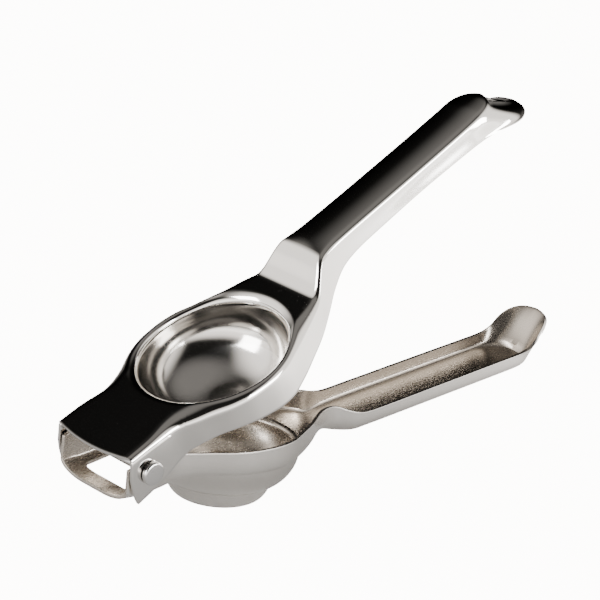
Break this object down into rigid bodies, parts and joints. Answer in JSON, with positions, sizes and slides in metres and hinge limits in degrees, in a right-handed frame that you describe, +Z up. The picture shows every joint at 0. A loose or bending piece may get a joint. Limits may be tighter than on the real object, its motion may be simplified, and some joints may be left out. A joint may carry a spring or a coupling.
{
  "type": "citrus press juicer",
  "caption": "Hand-held steel citrus press: a press arm with a round bowl closes into a strainer arm with a drained bowl, hinged at one end on a riveted pin.",
  "frame": {"origin": "middle of the flat underside of the strainer bowl", "axes": "+X from the hinge towards the handle ends, +Y across both arms along the hinge pin, +Z up with the strainer arm level"},
  "size_m": [0.2281, 0.0644, 0.1347],
  "materials": {
    "polished_steel": "mirror-polished stainless steel",
    "satin_steel": "satin stainless steel, duller inside",
    "pin_steel": "polished stainless steel"
  },
  "bodies": {
    "strainer_body": {"strainer_arm": "satin_steel", "hinge_pin": "pin_steel"},
    "press_body": {"press_arm": "polished_steel"}
  },
  "joints": [
    {"name": "arm_hinge", "type": "hinge", "parent": "strainer_body", "child": "press_body", "pos_m": [-0.0516, 0, 0.0266], "axis": [0, -1, 0], "range_deg": [-25.4, 63.6]}
  ]
}
